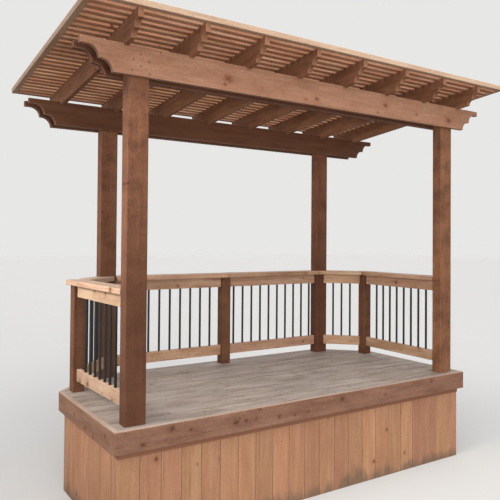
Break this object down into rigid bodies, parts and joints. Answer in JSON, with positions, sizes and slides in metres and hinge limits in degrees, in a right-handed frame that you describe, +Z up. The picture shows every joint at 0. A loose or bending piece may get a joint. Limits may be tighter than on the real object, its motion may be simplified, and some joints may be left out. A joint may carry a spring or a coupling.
{
  "type": "wooden garden pergola on a raised platform",
  "caption": "Open timber pergola with a slatted sloping roof on a raised, railed deck with a board skirt; scalloped beam and rafter ends.",
  "frame": {"origin": "on the ground under the middle of the roof", "axes": "+X to the right along the front, +Y to the back, +Z up"},
  "size_m": [3.726, 1.846, 3.2381],
  "materials": {
    "post_wood": "stained sawn timber",
    "beam_wood": "stained sawn timber",
    "rafter_wood": "stained sawn timber",
    "slat_wood": "stained sawn timber",
    "deck_wood": "stained sawn timber",
    "frame_wood": "stained sawn timber",
    "fascia_wood": "stained sawn timber",
    "skirt_wood": "stained sawn timber",
    "railing_wood": "stained sawn timber",
    "baluster_black": "satin black",
    "screw_steel": "dark coated"
  },
  "bodies": {
    "root": {"post_front_left": "post_wood", "post_front_right": "post_wood", "post_back_left": "post_wood", "post_back_right": "post_wood", "beam_front_outer": "beam_wood", "beam_front_inner": "beam_wood", "beam_back_inner": "beam_wood", "beam_back_outer": "beam_wood", "rafter_1": "rafter_wood", "rafter_2": "rafter_wood", "rafter_3": "rafter_wood", "rafter_4": "rafter_wood", "rafter_5": "rafter_wood", "rafter_6": "rafter_wood", "rafter_7": "rafter_wood", "rafter_8": "rafter_wood", "slats_1": "slat_wood", "slats_2": "slat_wood", "slats_3": "slat_wood", "roof_trim_left": "slat_wood", "roof_trim_right": "slat_wood", "deck_boards": "deck_wood", "platform_frame": "frame_wood", "platform_legs": "frame_wood", "fascia_front": "fascia_wood", "fascia_right": "fascia_wood", "fascia_back": "fascia_wood", "fascia_left": "fascia_wood", "skirt_front": "skirt_wood", "skirt_right": "skirt_wood", "skirt_back": "skirt_wood", "skirt_left": "skirt_wood", "rail_post_left": "post_wood", "rail_post_back": "post_wood", "rail_post_right": "post_wood", "railing_left": "railing_wood", "railing_corner_left": "railing_wood", "railing_back_left": "railing_wood", "railing_back_right": "railing_wood", "railing_corner_right": "railing_wood", "railing_right": "railing_wood", "cap_left": "railing_wood", "cap_back": "railing_wood", "cap_right": "railing_wood"}
  },
  "joints": []
}
